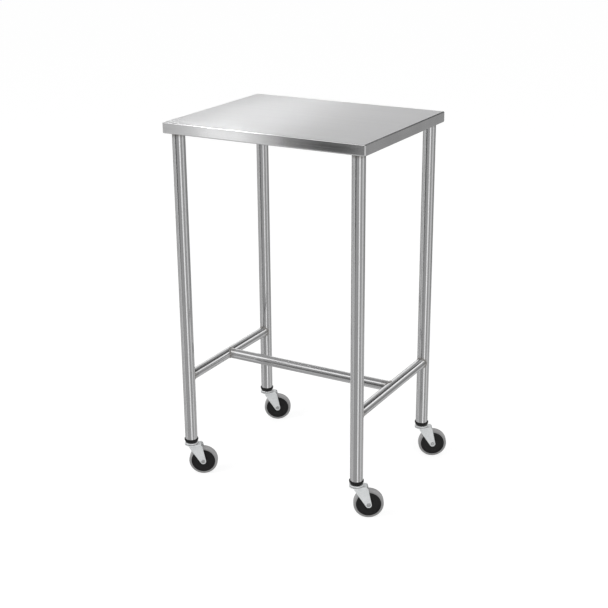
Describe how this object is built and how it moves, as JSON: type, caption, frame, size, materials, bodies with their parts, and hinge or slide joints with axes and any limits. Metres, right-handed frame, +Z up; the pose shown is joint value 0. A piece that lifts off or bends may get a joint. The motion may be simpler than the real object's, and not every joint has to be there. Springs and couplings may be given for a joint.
{
  "type": "instrument table",
  "caption": "Wheeled steel instrument table: a plain rectangular top with turned-down edges on round legs, braced low down by an H of tubes, on swivelling castors.",
  "frame": {"origin": "on the floor, straight below the middle of the top and midway between the legs", "axes": "+X along the wide front to its right-hand end, +Y from the front to the back, +Z up"},
  "size_m": [0.5392, 0.4191, 0.875],
  "materials": {
    "top_steel": "stainless steel sheet, fine satin grain along the length",
    "tube_steel": "polished stainless steel tube with fine drawing lines along it",
    "zinc_plate": "pressed steel with bright zinc plating",
    "bolt_steel": "plain zinc-plated fasteners, duller than the fork",
    "ball_steel": "hardened steel balls, greased",
    "black_rubber": "black moulded rubber, satin",
    "core_plastic": "black moulded plastic, satin",
    "grey_tyre": "grey non-marking rubber, matt"
  },
  "bodies": {
    "table": {"top_sheet": "top_steel", "end_rail_left": "tube_steel", "end_rail_right": "tube_steel", "stretcher": "tube_steel", "corner_plate_front_left": "tube_steel", "corner_plate_front_right": "tube_steel", "corner_plate_back_left": "tube_steel", "corner_plate_back_right": "tube_steel", "leg_front_left": "tube_steel", "leg_front_right": "tube_steel", "leg_back_left": "tube_steel", "leg_back_right": "tube_steel", "collar_front_left": "black_rubber", "collar_front_right": "black_rubber", "collar_back_left": "black_rubber", "collar_back_right": "black_rubber", "stem_front_left": "bolt_steel", "stem_front_right": "bolt_steel", "stem_back_left": "bolt_steel", "stem_back_right": "bolt_steel", "stem_nut_front_left": "bolt_steel", "stem_nut_front_right": "bolt_steel", "stem_nut_back_left": "bolt_steel", "stem_nut_back_right": "bolt_steel", "race_cap_front_left": "zinc_plate", "race_cap_front_right": "zinc_plate", "race_cap_back_left": "zinc_plate", "race_cap_back_right": "zinc_plate", "race_balls_front_left": "ball_steel", "race_balls_front_right": "ball_steel", "race_balls_back_left": "ball_steel", "race_balls_back_right": "ball_steel"},
    "castor_front_left": {"fork_front_left": "zinc_plate", "axle_front_left": "bolt_steel", "axle_nut_front_left": "bolt_steel", "bush_front_left": "bolt_steel"},
    "castor_front_right": {"fork_front_right": "zinc_plate", "axle_front_right": "bolt_steel", "axle_nut_front_right": "bolt_steel", "bush_front_right": "bolt_steel"},
    "castor_back_left": {"fork_back_left": "zinc_plate", "axle_back_left": "bolt_steel", "axle_nut_back_left": "bolt_steel", "bush_back_left": "bolt_steel"},
    "castor_back_right": {"fork_back_right": "zinc_plate", "axle_back_right": "bolt_steel", "axle_nut_back_right": "bolt_steel", "bush_back_right": "bolt_steel"},
    "wheel_front_left": {"wheel_core_front_left": "core_plastic", "tyre_front_left": "grey_tyre"},
    "wheel_front_right": {"wheel_core_front_right": "core_plastic", "tyre_front_right": "grey_tyre"},
    "wheel_back_left": {"wheel_core_back_left": "core_plastic", "tyre_back_left": "grey_tyre"},
    "wheel_back_right": {"wheel_core_back_right": "core_plastic", "tyre_back_right": "grey_tyre"}
  },
  "joints": [
    {"name": "swivel_front_left", "type": "hinge", "parent": "table", "child": "castor_front_left", "pos_m": [-0.227, -0.179, 0.0795], "axis": [0, 0, 1], "continuous": true},
    {"name": "swivel_front_right", "type": "hinge", "parent": "table", "child": "castor_front_right", "pos_m": [0.227, -0.179, 0.0795], "axis": [0, 0, 1], "continuous": true},
    {"name": "swivel_back_left", "type": "hinge", "parent": "table", "child": "castor_back_left", "pos_m": [-0.227, 0.179, 0.0795], "axis": [0, 0, 1], "continuous": true},
    {"name": "swivel_back_right", "type": "hinge", "parent": "table", "child": "castor_back_right", "pos_m": [0.227, 0.179, 0.0795], "axis": [0, 0, 1], "continuous": true},
    {"name": "roll_front_left", "type": "hinge", "parent": "castor_front_left", "child": "wheel_front_left", "pos_m": [-0.20251, -0.16543, 0.035], "axis": [-0.4848, 0.8746, 0], "continuous": true},
    {"name": "roll_front_right", "type": "hinge", "parent": "castor_front_right", "child": "wheel_front_right", "pos_m": [0.25149, -0.16543, 0.035], "axis": [-0.4848, 0.8746, 0], "continuous": true},
    {"name": "roll_back_left", "type": "hinge", "parent": "castor_back_left", "child": "wheel_back_left", "pos_m": [-0.20251, 0.19257, 0.035], "axis": [-0.4848, 0.8746, 0], "continuous": true},
    {"name": "roll_back_right", "type": "hinge", "parent": "castor_back_right", "child": "wheel_back_right", "pos_m": [0.25149, 0.19257, 0.035], "axis": [-0.4848, 0.8746, 0], "continuous": true}
  ]
}
